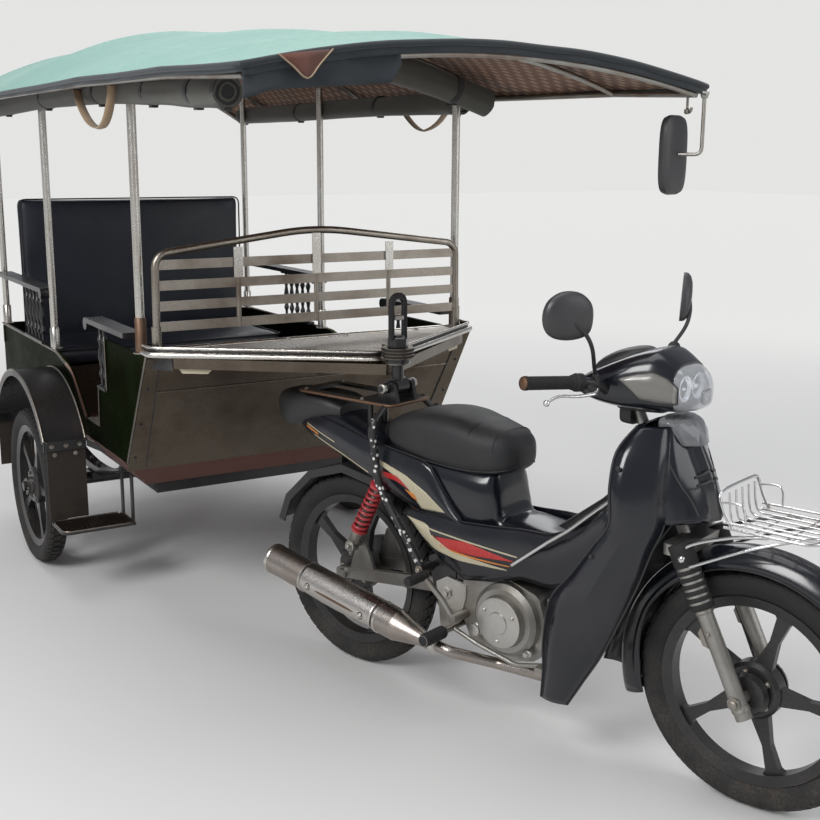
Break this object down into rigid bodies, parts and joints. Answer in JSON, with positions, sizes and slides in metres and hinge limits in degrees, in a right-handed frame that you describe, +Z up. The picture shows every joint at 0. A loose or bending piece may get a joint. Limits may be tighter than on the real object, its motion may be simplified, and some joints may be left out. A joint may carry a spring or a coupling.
{
  "type": "auto rickshaw",
  "caption": "Motorcycle-drawn passenger rickshaw: step-through motorcycle hinged to a canopied carriage with facing benches, posts and a front deck.",
  "frame": {"origin": "ground level under the middle of the whole vehicle's outline, at the bottom of the tyres", "axes": "+X forwards along the carriage towards the motorcycle, +Y to the rider's left, +Z up"},
  "size_m": [4.0226, 1.41, 1.9098],
  "materials": {
    "canopy_cloth": "matte woven",
    "curtain_cloth": "matte woven",
    "stainless": "brushed",
    "steel_tube": "satin",
    "black_paint": "satin",
    "rust_red_paint": "matt",
    "vinyl": "satin vinyl",
    "black_plastic": "gloss",
    "matte_plastic": "matte",
    "tyre_rubber": "matte",
    "flap_rubber": "matte",
    "cast_aluminium": "cast",
    "silencer_steel": "brushed",
    "clear_lens": "clear",
    "red_lens": "gloss",
    "zinc": "zinc plated"
  },
  "bodies": {
    "carriage": {"armrests": "black_paint", "axle": "black_paint", "canopy": "canopy_cloth", "canopy_posts": "stainless", "chassis_frame": "black_paint", "curtain_rolls": "curtain_cloth", "deck_rim": "stainless", "drawbar": "black_paint", "fenders": "black_paint", "floor_pan": "rust_red_paint", "front_bench_box": "stainless", "front_deck": "stainless", "front_panel": "stainless", "front_rail": "rust_red_paint", "front_seat_cushion": "vinyl", "leaf_springs": "black_paint", "mud_flaps": "flap_rubber", "rear_backrest": "vinyl", "rear_bench_box": "stainless", "rear_panel": "stainless", "rear_seat_cushion": "vinyl", "roof_frame": "steel_tube", "roof_mirror": "matte_plastic", "side_panels": "stainless", "side_steps": "black_paint", "slatted_back": "stainless"},
    "coupling": {"coupling_post": "zinc"},
    "motorcycle": {"rear_rack": "black_paint", "moto_frame": "black_paint", "swingarm": "cast_aluminium", "rear_shocks": "steel_tube", "seat": "vinyl", "body_cowls": "black_plastic", "engine": "cast_aluminium", "exhaust": "silencer_steel", "leg_shield": "black_plastic", "rear_fender": "matte_plastic", "tail_lamp": "red_lens", "chain_case": "black_paint", "foot_controls": "zinc", "kick_starter": "zinc", "cowl_rail": "steel_tube"},
    "side_stand": {"side_stand": "black_paint"},
    "steering": {"fork": "cast_aluminium", "handlebar": "steel_tube", "headlight_cover": "black_plastic", "headlight": "clear_lens", "front_fender": "black_plastic", "wire_carrier": "steel_tube", "bar_mirrors": "matte_plastic"},
    "rear_wheel": {"rear_rim": "black_paint", "rear_tyre": "tyre_rubber"},
    "front_wheel": {"front_rim": "black_paint", "front_tyre": "tyre_rubber"},
    "carriage_wheel_right": {"carriage_right_rim": "black_paint", "carriage_right_tyre": "tyre_rubber"},
    "carriage_wheel_left": {"carriage_left_rim": "black_paint", "carriage_left_tyre": "tyre_rubber"}
  },
  "joints": [
    {"name": "coupling_yaw", "type": "hinge", "parent": "carriage", "child": "coupling", "pos_m": [0.652, 0, 0.944], "axis": [0, 0, 1], "range_deg": [-68, 32]},
    {"name": "coupling_pitch", "type": "hinge", "parent": "coupling", "child": "motorcycle", "pos_m": [0.652, 0, 0.85], "axis": [-0.3156, 0.9489, 0], "range_deg": [-8, 8]},
    {"name": "steering", "type": "hinge", "parent": "motorcycle", "child": "steering", "pos_m": [1.65357, 0.33318, 0.285], "axis": [-0.4204, -0.1399, 0.8965], "range_deg": [-38, 38]},
    {"name": "side_stand_fold", "type": "hinge", "parent": "motorcycle", "child": "side_stand", "pos_m": [0.92661, 0.20095, 0.206], "axis": [0.3156, -0.9489, 0], "range_deg": [0, 80]},
    {"name": "rear_wheel_spin", "type": "hinge", "parent": "motorcycle", "child": "rear_wheel", "pos_m": [0.51346, -0.04608, 0.285], "axis": [-0.3156, 0.9489, 0], "continuous": true},
    {"name": "front_wheel_spin", "type": "hinge", "parent": "steering", "child": "front_wheel", "pos_m": [1.68533, 0.34374, 0.285], "axis": [-0.3156, 0.9489, 0], "continuous": true},
    {"name": "carriage_right_spin", "type": "hinge", "parent": "carriage", "child": "carriage_wheel_right", "pos_m": [-0.862, -0.648, 0.285], "axis": [0, 1, 0], "continuous": true},
    {"name": "carriage_left_spin", "type": "hinge", "parent": "carriage", "child": "carriage_wheel_left", "pos_m": [-0.862, 0.648, 0.285], "axis": [0, 1, 0], "continuous": true}
  ]
}
